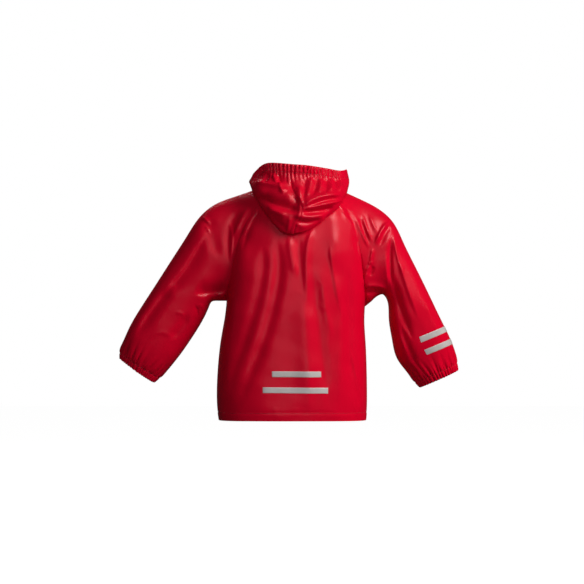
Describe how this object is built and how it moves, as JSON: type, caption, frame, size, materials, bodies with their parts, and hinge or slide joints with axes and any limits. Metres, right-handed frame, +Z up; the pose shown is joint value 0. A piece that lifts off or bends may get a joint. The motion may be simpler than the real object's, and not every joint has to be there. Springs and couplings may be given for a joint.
{
  "type": "kids rain jacket",
  "caption": "Child's hooded raglan rain jacket in glossy coated cloth, filled out as worn, hood down, with elastic cuffs, reflective tapes and a snapped front flap.",
  "frame": {"origin": "middle of the neck opening at the height of the nape, where the wearer's neck and shoulders carry the jacket", "axes": "+Z up, -Y the way the wearer faces, +X to the wearer's left"},
  "size_m": [0.732, 0.2263, 0.5473],
  "materials": {
    "coated_cloth": "polyurethane-coated polyester knit, semi-gloss red",
    "reflective_film": "welded glass-bead reflective film, silver grey",
    "press_stud": "moulded acetal, red"
  },
  "bodies": {
    "root": {"back": "coated_cloth", "front_left": "coated_cloth", "front_right": "coated_cloth", "sleeve_left": "coated_cloth", "sleeve_right": "coated_cloth", "cuff_left": "coated_cloth", "cuff_right": "coated_cloth", "hood_left": "coated_cloth", "hood_right": "coated_cloth", "hood_casing": "coated_cloth", "front_flap": "coated_cloth", "back_tape_upper": "reflective_film", "back_tape_lower": "reflective_film", "sleeve_tape_upper": "reflective_film", "sleeve_tape_lower": "reflective_film", "snap_1": "press_stud", "snap_2": "press_stud", "snap_3": "press_stud", "snap_4": "press_stud", "snap_5": "press_stud"}
  },
  "joints": []
}
